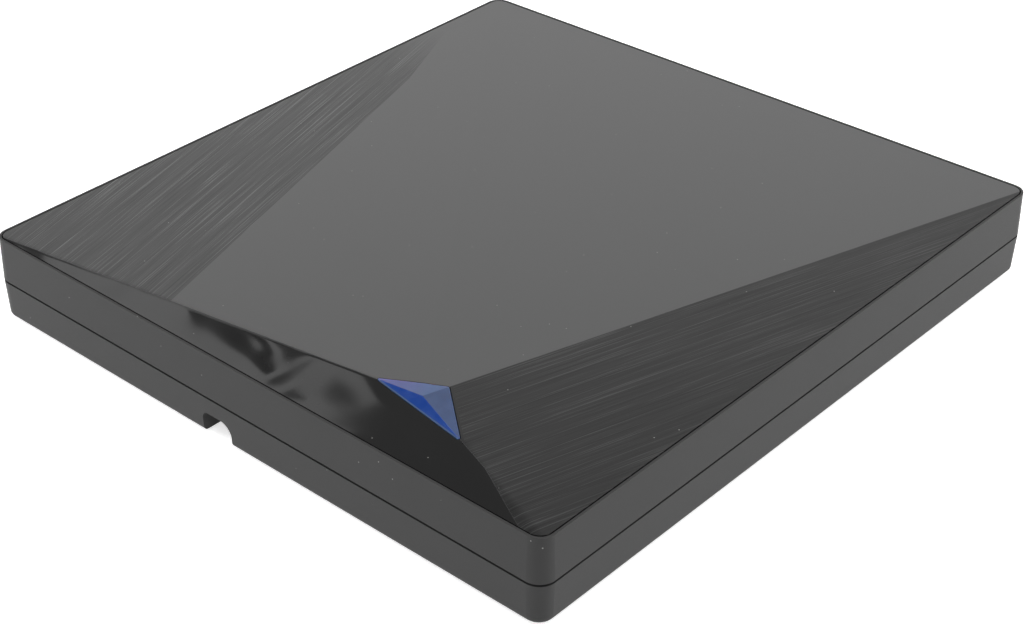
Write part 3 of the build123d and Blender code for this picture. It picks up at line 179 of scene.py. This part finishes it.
# Short helpers for node materials
class Nodes:
    """A new material with a Principled shader, and calls that add and join nodes."""

    def __init__(self, name):
        self.material = bpy.data.materials.new(name)
        self.material.use_nodes = True
        self.tree = self.material.node_tree
        self.shader = self.tree.nodes["Principled BSDF"]

    def add(self, kind, **values):
        node = self.tree.nodes.new("ShaderNode" + kind)
        for key, value in values.items():
            setattr(node, key, value)
        return node

    def join(self, source, target):
        self.tree.links.new(source, target)

    def place(self):
        return self.add("TexCoord").outputs["Object"]

    def math(self, operation, first, second=None, clamp=False):
        node = self.add("Math", operation=operation, use_clamp=clamp)
        for socket, value in zip(node.inputs, (first, second)):
            if value is None:
                continue
            if isinstance(value, (int, float)):
                socket.default_value = value
            else:
                self.join(value, socket)
        return node.outputs[0]

    def noise(self, scale, detail=3.0, rough=0.5, stretch=(1, 1, 1), turn=0.0, curl=0.0):
        mapping = self.add("Mapping")
        mapping.inputs["Rotation"].default_value = (0, 0, turn)
        self.join(self.place(), mapping.inputs["Vector"])
        squeeze = self.add("Mapping")
        squeeze.inputs["Scale"].default_value = stretch
        self.join(mapping.outputs[0], squeeze.inputs["Vector"])
        node = self.add("TexNoise")
        node.inputs["Scale"].default_value = scale
        node.inputs["Detail"].default_value = detail
        node.inputs["Roughness"].default_value = rough
        node.inputs["Distortion"].default_value = curl
        self.join(squeeze.outputs[0], node.inputs["Vector"])
        return node.outputs["Fac"]

    def spread(self, value, low, high, out_low, out_high):
        node = self.add("MapRange")
        ranges = {"From Min": low, "From Max": high, "To Min": out_low, "To Max": out_high}
        for key, number in ranges.items():
            node.inputs[key].default_value = number
        self.join(value, node.inputs["Value"])
        return node.outputs[0]

    def mix(self, factor, first, second):
        """Mixes two numbers or two colours, given as sockets or as plain values."""
        colour = any(isinstance(v, (tuple, list)) for v in (first, second))
        node = self.add("Mix", data_type="RGBA" if colour else "FLOAT")
        socket_a, socket_b = [s for s in node.inputs if s.enabled and s.name in ("A", "B")]
        for socket, value in ((socket_a, first), (socket_b, second)):
            if isinstance(value, (int, float)):
                socket.default_value = value
            elif isinstance(value, (tuple, list)):
                socket.default_value = (*value, 1.0)
            else:
                self.join(value, socket)
        factor_socket = [s for s in node.inputs if s.enabled and s.name == "Factor"][0]
        if isinstance(factor, (int, float)):
            factor_socket.default_value = factor
        else:
            self.join(factor, factor_socket)
        return [s for s in node.outputs if s.enabled][0]

    def bump(self, height, distance, strength=1.0, normal=None):
        node = self.add("Bump")
        node.inputs["Distance"].default_value = distance
        node.inputs["Strength"].default_value = strength
        self.join(height, node.inputs["Height"])
        if normal is not None:
            self.join(normal, node.inputs["Normal"])
        return node.outputs[0]

    def set(self, **values):
        """Sets or joins shader inputs; an underscore stands for a space."""
        for key, value in values.items():
            socket = self.shader.inputs[key.replace("_", " ")]
            if isinstance(value, (int, float)):
                socket.default_value = value
            elif isinstance(value, (tuple, list)):
                socket.default_value = (*value, 1.0) if len(socket.default_value) == 4 else value
            else:
                self.join(value, socket)

    def within(self, half_x, half_y, middle_z, half_z):
        """1 inside the box with these half sizes, and 0 outside it."""
        split = self.add("SeparateXYZ")
        self.join(self.place(), split.inputs[0])
        height = self.math("SUBTRACT", split.outputs["Z"], middle_z)
        inside = 1.0
        halves = ((split.outputs["X"], half_x), (split.outputs["Y"], half_y), (height, half_z))
        for value, half in halves:
            near = self.math("LESS_THAN", self.math("ABSOLUTE", value), half)
            inside = self.math("MULTIPLY", near, inside)
        return inside

    def side_of(self, start, end):
        """1 on the left of the line from start to end, seen from above, and 0 on its right."""
        soft = 0.00002
        run = (end - start).normalized()
        split = self.add("SeparateXYZ")
        self.join(self.place(), split.inputs[0])
        across_x = self.math("MULTIPLY", self.math("SUBTRACT", split.outputs["X"], start.x), -run.y)
        across_y = self.math("MULTIPLY", self.math("SUBTRACT", split.outputs["Y"], start.y), run.x)
        distance = self.math("ADD", across_x, across_y)
        return self.spread(distance, -soft, soft, 0.0, 1.0)

    def strip(self, start, end, width):
        """1 in a strip of this width along the left of the line from start to end, and 0 elsewhere."""
        run = (end - start).normalized()
        off = Vector((-run.y, run.x)) * width
        corners = [start, end, end + off, start + off]
        inside = 1.0
        for corner, following in zip(corners, corners[1:] + corners[:1]):
            inside = self.math("MULTIPLY", self.side_of(corner, following), inside)
        return inside

    def dust(self, share):
        """1 on fine specks, in this share of small cells."""
        cells = self.add("TexVoronoi", feature="F1")
        cells.inputs["Scale"].default_value = dust_cell_scale
        self.join(self.place(), cells.inputs["Vector"])
        split = self.add("SeparateColor")
        self.join(cells.outputs["Color"], split.inputs[0])
        picked = self.math("GREATER_THAN", split.outputs[0], 1 - share)
        speck = self.spread(cells.outputs["Distance"], 0.05, 0.09, 1.0, 0.0)
        return self.math("MULTIPLY", picked, speck)


def moulded(name, colour, roughness, scale=9000.0, seam=None, dust=0.0, shine=0.5):
    """Moulded plastic with a fine spark-eroded grain and slight changes in tone, with painted shade in a
    seam.
    """
    n = Nodes(name)
    broad = n.noise(60.0, detail=4.0)
    dark = tuple(c * (1 - plastic_mottle) for c in colour)
    light = tuple(c * (1 + plastic_mottle) for c in colour)
    tone = n.mix(broad, dark, light)
    if seam is not None:
        # painted shade: the seam's gap is darkened in the plastic's colour
        tone = n.mix(n.within(*seam), tone, tuple(c * 0.15 for c in colour))
    if dust:
        tone = n.mix(n.dust(dust), tone, plastic_dust_tone)
    n.set(Base_Color=tone, Specular_IOR_Level=shine)
    fine = n.noise(scale, detail=1.0)
    n.set(Roughness=n.spread(fine, 0.3, 0.7, roughness - 0.04, roughness + 0.04))
    n.set(Normal=n.bump(fine, plastic_grain, 0.6))
    return n.material


def lid_masks(n):
    """Factors that are 1 on the lid's glossy, left brushed and right brushed areas, and 0 elsewhere."""
    front_left = Vector((-lid_half_x, -lid_half_y))
    rear_right = Vector((lid_half_x, lid_half_y))
    above = n.math("MULTIPLY", n.side_of(near_bend, crown), n.side_of(near_end, near_bend))
    glossy = n.math("MULTIPLY", above, n.side_of(crown, rear_right))
    left = n.math("MULTIPLY", n.side_of(front_left, crown), n.math("SUBTRACT", 1.0, above))
    rear, middle, front = brushed_edge
    beyond = n.math("MULTIPLY", n.side_of(rear, middle), n.side_of(middle, front))
    split = n.add("SeparateXYZ")
    n.join(n.place(), split.inputs[0])
    fade = n.spread(split.outputs["Y"], *brushed_fade, 0.0, 1.0)
    right = n.math("MULTIPLY", n.math("MULTIPLY", beyond, fade), n.math("SUBTRACT", 1.0, glossy))
    return glossy, left, right


def streaks(n, degrees, fineness=4000.0, length=26.0):
    """Parallel brushing lines that run at this angle from +X."""
    stretch = (length, fineness, 0.0)
    return n.noise(1.0, detail=3.0, rough=0.7, stretch=stretch, turn=-math.radians(degrees))


def grey(value):
    return (value, value, value)


def brushed_tone(n, lines, degrees, tone, depth):
    """Grey of a brushed facet: soft bands, with light and dark scratches among the fine lines."""
    broad = streaks(n, degrees, 900.0, 30.0)
    low = grey(tone * (1 - depth))
    high = grey(tone * (1 + depth))
    band = n.mix(n.spread(broad, 0.35, 0.65, 0.0, 1.0), low, high)
    fine = n.mix(n.spread(lines, 0.35, 0.65, 0.0, 1.0), low, grey(tone))
    both = n.mix(0.5, band, fine)
    light = n.mix(n.spread(lines, 0.56, 0.64, 0.0, 0.9), both, grey(tone * 4.0))
    return n.mix(n.spread(lines, 0.36, 0.45, 0.9, 0.0), light, grey(tone * 0.1))


def lid_material():
    """The lid's black plastic: matte in the middle, brushed on two sides, glossy on the long facet."""
    n = Nodes("lid_plastic")
    glossy, left, right = lid_masks(n)
    right_lines = streaks(n, right_streak_degrees)
    left_lines = streaks(n, left_streak_degrees)
    grain = n.noise(7000.0, detail=2.0)
    # painted sheen: the matte middle is painted lighter towards its front right corner
    split = n.add("SeparateXYZ")
    n.join(n.place(), split.inputs[0])
    across = n.math("SUBTRACT", split.outputs["X"], split.outputs["Y"])
    middle = n.mix(n.spread(across, -0.06, 0.12, 0.0, 1.0), grey(0.074), grey(0.102))
    middle = n.mix(n.spread(grain, 0.3, 0.7, 0.0, 0.12), middle, grey(0.08))
    right_tone = brushed_tone(n, right_lines, right_streak_degrees, 0.029, 0.35)
    left_tone = brushed_tone(n, left_lines, left_streak_degrees, 0.0125, 0.5)
    # painted reflection: faint wavy lighter patches in the glossy facet's colour
    painted_reflection_waves = n.noise(26.0, detail=1.0, stretch=(1.0, 2.6, 1.0), turn=0.4)
    gloss_tone = n.mix(painted_reflection_waves, grey(0.011), grey(0.017))
    tone = n.mix(right, middle, right_tone)
    tone = n.mix(left, tone, left_tone)
    tone = n.mix(glossy, tone, gloss_tone)
    # painted shade in the gap beside the gem, and a few specks of dust
    tone = n.mix(n.strip(gem_corners[2], gem_corners[1], painted_gem_edge_width), tone, grey(0.008))
    n.set(Base_Color=n.mix(n.dust(0.05), tone, lid_dust_tone))
    rough = n.mix(n.math("ADD", left, right, clamp=True), 0.5, 0.36)
    n.set(Roughness=n.mix(glossy, rough, 0.07), Specular_IOR_Level=0.35)
    lines = n.mix(left, n.math("MULTIPLY", right_lines, right), left_lines)
    height = n.mix(glossy, n.mix(n.math("ADD", left, right, clamp=True), grain, lines), 0.5)
    fine = n.bump(height, 0.00002, 0.5)
    # moulded gloss is never quite flat, so what it mirrors looks wavy, less so at the near corner
    waves = n.noise(46.0, detail=1.0, stretch=(1.0, 1.7, 1.0), curl=0.6)
    ripple = n.math("MULTIPLY", waves, glossy)
    calm = n.spread(split.outputs["X"], -0.045, -0.015, 0.15, 1.0)
    n.set(Normal=n.bump(n.math("MULTIPLY", ripple, calm), 0.00045, 1.0, normal=fine))
    return n.material


def gem_material():
    """Blue light guide whose facets are each painted in their own tone of light and shade."""
    n = Nodes("gem")
    glossy, left, _ = lid_masks(n)
    split = n.add("SeparateXYZ")
    n.join(n.place(), split.inputs[0])
    # painted light and shade: each facet gets its own tone, and the upper one shifts in tone along x
    tip = n.spread(split.outputs["X"], crown.x, crown.x + 0.010, 0.0, 1.0)
    upper = n.mix(tip, (0.040, 0.078, 0.195), (0.085, 0.070, 0.255))
    facet = n.mix(left, upper, (0.016, 0.042, 0.125))
    facet = n.mix(glossy, facet, (0.005, 0.040, 0.230))
    inner = n.noise(420.0, detail=3.0)
    cloud = n.mix(n.spread(inner, 0.35, 0.65, 0.0, 0.08), facet, (0.12, 0.20, 0.45))
    # painted highlight: a lighter line along the gem's lower left edge
    painted_edge_highlight = n.strip(gem_corners[0], gem_corners[1], painted_gem_edge_width)
    n.set(Base_Color=n.mix(painted_edge_highlight, cloud, (0.06, 0.10, 0.20)), Specular_IOR_Level=0.35)
    n.set(Roughness=n.spread(inner, 0.3, 0.7, 0.10, 0.16))
    n.set(Coat_Weight=0.1, Coat_Roughness=0.04, Subsurface_Weight=0.2, Subsurface_Scale=0.0012)
    n.set(Normal=n.bump(inner, 0.00001, 0.3))
    return n.material


def metal(name, colour, roughness, streak_degrees=None, dirt=0.12):
    """Rolled or turned metal with faint lines one way and cloudy roughness."""
    n = Nodes(name)
    cloud = n.noise(90.0, detail=5.0)
    if streak_degrees is None:
        lines = n.noise(metal_line_scale, detail=2.0)
    else:
        lines = streaks(n, streak_degrees, metal_line_scale, 60.0)
    dark = tuple(c * (1 - dirt) for c in colour)
    n.set(Base_Color=n.mix(n.spread(cloud, 0.3, 0.7, 0.0, 1.0), dark, colour), Metallic=1.0)
    cloudy = n.spread(cloud, 0.3, 0.7, -0.05, 0.05)
    lined = n.spread(lines, 0.3, 0.7, -0.05, 0.05)
    n.set(Roughness=n.math("ADD", n.math("ADD", cloudy, lined), roughness))
    n.set(Normal=n.bump(lines, 0.000012, 0.5))
    return n.material


def board_material():
    """Green solder mask with faint tracks showing through it and small bright pads."""
    n = Nodes("circuit_board")
    bricks = n.add("TexBrick", offset=0.35, squash=1.0)
    n.join(n.place(), bricks.inputs["Vector"])
    sizes = {"Scale": 260.0, "Mortar Size": 0.035, "Brick Width": 0.9, "Row Height": 0.34}
    for key, value in sizes.items():
        bricks.inputs[key].default_value = value
    cells = n.add("TexVoronoi", feature="F1")
    cells.inputs["Scale"].default_value = 420.0
    n.join(n.place(), cells.inputs["Vector"])
    tracks = n.mix(bricks.outputs["Fac"], (0.010, 0.062, 0.028), (0.022, 0.120, 0.050))
    pads = n.spread(cells.outputs["Distance"], 0.10, 0.14, 1.0, 0.0)
    cloud = n.noise(120.0)
    mask = n.math("MULTIPLY", pads, n.spread(cloud, 0.52, 0.56, 0.0, 1.0))
    n.set(Base_Color=n.mix(mask, tracks, (0.55, 0.50, 0.40)))
    n.set(Metallic=n.math("MULTIPLY", mask, 0.8), Roughness=n.spread(cloud, 0.3, 0.7, 0.28, 0.4))
    n.set(Normal=n.bump(bricks.outputs["Fac"], 0.00003, 0.5), Coat_Weight=0.2)
    return n.material


def rubber_material(name, colour):
    """Matte rubber with a fine grain and some dust in it."""
    n = Nodes(name)
    fine = n.noise(5200.0, detail=2.0)
    dust = n.noise(300.0, detail=6.0, rough=0.7)
    n.set(Base_Color=n.mix(n.spread(dust, 0.5, 0.75, 0.0, 0.35), colour, (0.10, 0.10, 0.10)))
    n.set(Roughness=n.spread(fine, 0.3, 0.7, 0.68, 0.85), Normal=n.bump(fine, 0.00004, 0.7))
    n.set(Sheen_Weight=0.15, Sheen_Roughness=0.5)
    return n.material


def lens_material():
    """The objective lens, coated, so blue with a touch of violet."""
    n = Nodes("lens_glass")
    tint = n.noise(260.0)
    n.set(Base_Color=n.mix(tint, (0.10, 0.14, 0.42), (0.30, 0.16, 0.46)))
    n.set(Roughness=0.04, Coat_Weight=1.0, Coat_Roughness=0.02, Specular_IOR_Level=0.9)
    return n.material


def film_material():
    """Pale polyester film with flat conductors that run along it."""
    n = Nodes("flex_film")
    split = n.add("SeparateXYZ")
    n.join(n.place(), split.inputs[0])
    around = 2 * math.pi / film_conductor_pitch
    lines = n.math("SINE", n.math("MULTIPLY", split.outputs["X"], around))
    cloud = n.noise(200.0)
    tone = n.mix(n.spread(lines, -0.4, 0.4, 0.0, 1.0), (0.62, 0.63, 0.65), (0.36, 0.37, 0.39))
    n.set(Base_Color=n.mix(n.spread(cloud, 0.4, 0.7, 0.0, 0.25), tone, (0.45, 0.46, 0.48)))
    n.set(Roughness=n.spread(cloud, 0.3, 0.7, 0.22, 0.32), Normal=n.bump(lines, 0.00002, 0.6))
    return n.material


def turned_material(name, centre, colour, roughness):
    """Plastic or metal faced on a lathe: fine rings round this centre."""
    n = Nodes(name)
    shift = n.add("Mapping")
    shift.inputs["Location"].default_value = (-centre[0], -centre[1], 0)
    n.join(n.place(), shift.inputs["Vector"])
    split = n.add("SeparateXYZ")
    n.join(shift.outputs[0], split.inputs[0])
    flat = n.add("CombineXYZ")
    n.join(split.outputs["X"], flat.inputs["X"])
    n.join(split.outputs["Y"], flat.inputs["Y"])
    length = n.add("VectorMath", operation="LENGTH")
    n.join(flat.outputs[0], length.inputs[0])
    rings = n.math("SINE", n.math("MULTIPLY", length.outputs["Value"], 26000.0))
    cloud = n.noise(150.0)
    dark = tuple(c * 0.86 for c in colour)
    n.set(Base_Color=n.mix(cloud, dark, colour))
    n.set(Roughness=n.spread(cloud, 0.3, 0.7, roughness - 0.05, roughness + 0.05))
    n.set(Normal=n.bump(rings, 0.000008, 0.5))
    return n.material


materials = {
    "case_plastic": moulded("case_plastic", grey(0.034), 0.5, seam=seam_shade_box, dust=0.15, shine=0.2),
    "lid_plastic": lid_material(),
    "gem": gem_material(),
    "circuit_board": board_material(),
    "rubber": rubber_material("rubber", grey(0.016)),
    "screw_steel": metal("screw_steel", (0.30, 0.30, 0.31), 0.32, dirt=0.25),
    "sheet_steel": metal("sheet_steel", (0.58, 0.58, 0.57), 0.34, 0.0),
    "cover_steel": metal("cover_steel", (0.27, 0.27, 0.275), 0.42, 90.0),
    "connector_plastic": moulded("connector_plastic", (0.022, 0.022, 0.023), 0.42, scale=6000.0),
    "guide_plastic": moulded("guide_plastic", (0.72, 0.71, 0.67), 0.45, scale=5000.0),
    "rail_steel": metal("rail_steel", grey(0.62), 0.26, 90.0),
    "tray_plastic": moulded("tray_plastic", (0.030, 0.030, 0.031), 0.48, scale=5200.0),
    "bezel_plastic": moulded("bezel_plastic", (0.044, 0.044, 0.045), 0.46, shine=0.3),
    "motor_steel": metal("motor_steel", (0.60, 0.59, 0.56), 0.30, 45.0),
    "turntable_plastic": turned_material("turntable_plastic", hub_place, (0.028, 0.028, 0.030), 0.34),
    "sled_alloy": metal("sled_alloy", (0.50, 0.50, 0.51), 0.42, dirt=0.2),
    "lens_glass": lens_material(),
    "flex_film": film_material(),
}


def dress_nodes():
    """Gives each CAD node the finish of its slot, and fine bevels where edges catch the light."""
    slot_of = {part["node"]: part["material_slot"] for part in frame["record"]["subparts"]}
    for name, node in frame["nodes"].items():
        node.data.materials.clear()
        node.data.materials.append(materials[slot_of[name]])
    for name, width in bevel_widths.items():
        modifier = frame["nodes"][name].modifiers.new("edge", "BEVEL")
        modifier.width = width
        modifier.segments = 2
        modifier.limit_method = "ANGLE"
        modifier.angle_limit = math.radians(40)
        modifier.harden_normals = False


def add_piece(name, mesh_maker, slot, body, replaced):
    """A new piece from a function that fills a bmesh, in place of a CAD node. It rides on the body,
    if one is given."""
    shape = bmesh.new()
    mesh_maker(shape)
    bmesh.ops.recalc_face_normals(shape, faces=shape.faces)
    mesh = bpy.data.meshes.new(name)
    shape.to_mesh(mesh)
    shape.free()
    for face in mesh.polygons:
        face.use_smooth = True
    mesh.materials.append(materials[slot])
    piece = bpy.data.objects.new(name, mesh)
    bpy.context.scene.collection.objects.link(piece)
    if body is not None:
        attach(piece, body)
    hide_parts(replaced)
    return piece


def join_rings(shape, rings):
    """Faces between each ring of corners and the next, with both ends closed."""
    for ring, following in zip(rings, rings[1:]):
        for index in range(len(ring)):
            after = (index + 1) % len(ring)
            shape.faces.new((ring[index], ring[after], following[after], following[index]))
    shape.faces.new(rings[0])
    shape.faces.new(list(reversed(rings[-1])))


def film_cable(shape):
    """Flat film that runs forward from the mainboard, folds over once and runs back under the tray."""
    line = list(film_start)
    low_steps = 12
    fold_steps = 14
    high_steps = 20
    for step in range(1, low_steps + 1):
        line.append((film_start[-1][0] + (fold_y - film_start[-1][0]) * step / low_steps, film_low))
    radius = (film_high - film_low) / 2
    for step in range(1, fold_steps + 1):
        turn = math.pi * step / fold_steps
        line.append((fold_y - radius * math.sin(turn), film_low + radius - radius * math.cos(turn)))
    for step in range(1, high_steps + 1):
        line.append((fold_y + (film_tray_y - fold_y) * step / high_steps, film_high))
    rings = []
    for index, (y, z) in enumerate(line):
        before = line[max(index - 1, 0)]
        after = line[min(index + 1, len(line) - 1)]
        run = Vector((after[0] - before[0], after[1] - before[1])).normalized()
        off = Vector((-run.y, run.x)) * film_half_sheet
        rings.append([
            shape.verts.new((film_x + side * film_half_width, y + up * off.x, z + up * off.y))
            for side, up in ((-1, -1), (1, -1), (1, 1), (-1, 1))
        ])
    join_rings(shape, rings)


def clamp_balls(shape):
    """The three steel balls that spring out of the hub to hold a disc."""
    for degrees in ball_degrees:
        turn = math.radians(degrees)
        x = hub_place[0] + ball_reach * math.cos(turn)
        y = hub_place[1] + ball_reach * math.sin(turn)
        place = Matrix.Translation((x, y, ball_height))
        bmesh.ops.create_uvsphere(
            shape, u_segments=18, v_segments=12, radius=ball_radius, matrix=place
        )


def groove_depth(reach, turn):
    """How deep the lead screw is cut at this reach along its axis and this turn around it."""
    if not thread_low < reach < thread_high:
        return 0.0
    spacing = screw_turn_length / screw_starts
    phase = (reach / spacing - turn * screw_starts / (2 * math.pi)) % 1.0
    away = abs(phase - 0.5) * spacing
    return thread_depth * max(0.0, 1 - away / thread_half_width)


def threaded_screw(shape):
    """Lead screw with two helical grooves, 3 mm a turn as in the coupling."""
    base = Vector((*hub_place, screw_height)) + screw_across * screw_offset
    rings = []
    count = round((screw_high - screw_low) / screw_step)
    for index in range(count + 1):
        reach = screw_low + (screw_high - screw_low) * index / count
        ring = []
        for corner in range(screw_corners):
            turn = 2 * math.pi * corner / screw_corners
            outward = screw_across * math.cos(turn) + Vector((0, 0, 1)) * math.sin(turn)
            from_axis = outward * (screw_radius - groove_depth(reach, turn))
            ring.append(shape.verts.new(base + screw_axis * reach + from_axis))
        rings.append(ring)
    join_rings(shape, rings)


def add_pieces():
    film = add_piece("tray_film_cable", film_cable, "flex_film", None, "tray_flex_cable")
    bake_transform(film)
    add_piece("hub_balls", clamp_balls, "rail_steel", "turntable", "clamping_balls")
    add_piece("threaded_screw", threaded_screw, "rail_steel", "lead_screw", "lead_screw")


def area_light(name, place, target, size, watts):
    """A rectangular lamp that faces the target."""
    data = bpy.data.lights.new(name, "AREA")
    data.shape = "RECTANGLE"
    data.size, data.size_y = size
    data.energy = watts
    lamp = bpy.data.objects.new(name, data)
    place = Vector(place)
    lamp.location = place
    lamp.rotation_euler = (Vector(target) - place).to_track_quat("-Z", "Y").to_euler()
    bpy.context.scene.collection.objects.link(lamp)


def add_stage_sheet(name, corners):
    """A flat four-cornered sheet that is part of the studio, not of the object."""
    mesh = bpy.data.meshes.new(name)
    mesh.from_pydata(corners, [], [(0, 1, 2, 3)])
    sheet = bpy.data.objects.new(name, mesh)
    bpy.context.scene.collection.objects.link(sheet)
    return sheet


def make_flag():
    """A small dark card before the lamp panel, whose shape shows in the lid's gloss."""
    half_x = flag_width / 2
    half_y = flag_length / 2
    flag = add_stage_sheet("flag", [
        (-half_x, -half_y, 0),
        (half_x, -half_y, 0),
        (half_x * 0.6, half_y, 0),
        (-half_x, half_y * 0.8, 0),
    ])
    towards = Vector(gloss_place) - Vector(flag_place)
    facing = towards.to_track_quat("-Z", "Y").to_matrix().to_4x4()
    tilt = Matrix.Rotation(math.radians(flag_tilt_degrees), 4, "Z")
    flag.matrix_world = Matrix.Translation(flag_place) @ facing @ tilt
    n = Nodes("flag")
    n.set(Base_Color=grey(0.01), Roughness=0.9)
    flag.data.materials.append(n.material)


def make_world():
    """Dim grey overhead and lighter all round, as above a photographer's table, and white behind."""
    world = bpy.data.worlds.new("studio")
    bpy.context.scene.world = world
    world.use_nodes = True
    tree = world.node_tree
    background = tree.nodes["Background"]
    place = tree.nodes.new("ShaderNodeTexCoord")
    split = tree.nodes.new("ShaderNodeSeparateXYZ")
    tree.links.new(place.outputs["Generated"], split.inputs[0])

    def ramp(low, high, strength_low, strength_high):
        node = tree.nodes.new("ShaderNodeMapRange")
        ranges = {"From Min": low, "From Max": high, "To Min": strength_low, "To Max": strength_high}
        for key, value in ranges.items():
            node.inputs[key].default_value = value
        tree.links.new(split.outputs["Z"], node.inputs["Value"])
        return node.outputs[0]

    def combine(operation, first, second):
        node = tree.nodes.new("ShaderNodeMath")
        node.operation = operation
        tree.links.new(first, node.inputs[0])
        tree.links.new(second, node.inputs[1])
        return node.outputs[0]

    path = tree.nodes.new("ShaderNodeLightPath")
    mirrored = combine("MAXIMUM", path.outputs["Is Glossy Ray"], path.outputs["Is Transmission Ray"])
    mirrored = combine("MULTIPLY", mirrored, ramp(0.15, 0.40, 1.0, 0.22))
    seen = combine("MAXIMUM", path.outputs["Is Camera Ray"], mirrored)
    strength = combine("MAXIMUM", seen, ramp(0.05, 0.45, 0.75, 0.22))
    tree.links.new(strength, background.inputs["Strength"])
    background.inputs["Color"].default_value = (1.0, 1.0, 1.0, 1.0)


def make_floor():
    """The pale table that the drive stands on."""
    signs = ((-1, -1), (1, -1), (1, 1), (-1, 1))
    corners = [(x * table_half_size, y * table_half_size, 0) for x, y in signs]
    floor = add_stage_sheet("floor", corners)
    n = Nodes("floor")
    cloud = n.noise(3.0)
    n.set(Base_Color=n.mix(cloud, grey(0.86), grey(0.90)), Roughness=0.9)
    # the camera sees the table lit up to white, and the object's shadow still darkens it
    path = n.add("LightPath")
    seen = n.math("MAXIMUM", path.outputs["Is Camera Ray"], path.outputs["Is Transmission Ray"])
    seen = n.math("MAXIMUM", seen, path.outputs["Is Glossy Ray"])
    n.set(Emission_Color=grey(1.0), Emission_Strength=n.math("MULTIPLY", seen, table_lift))
    floor.data.materials.append(n.material)


dress_nodes()
add_pieces()
make_world()
make_floor()
make_flag()
for name, values in lamps.items():
    area_light(name, **values)
set_camera()
bpy.context.scene.view_settings.view_transform = "Standard"
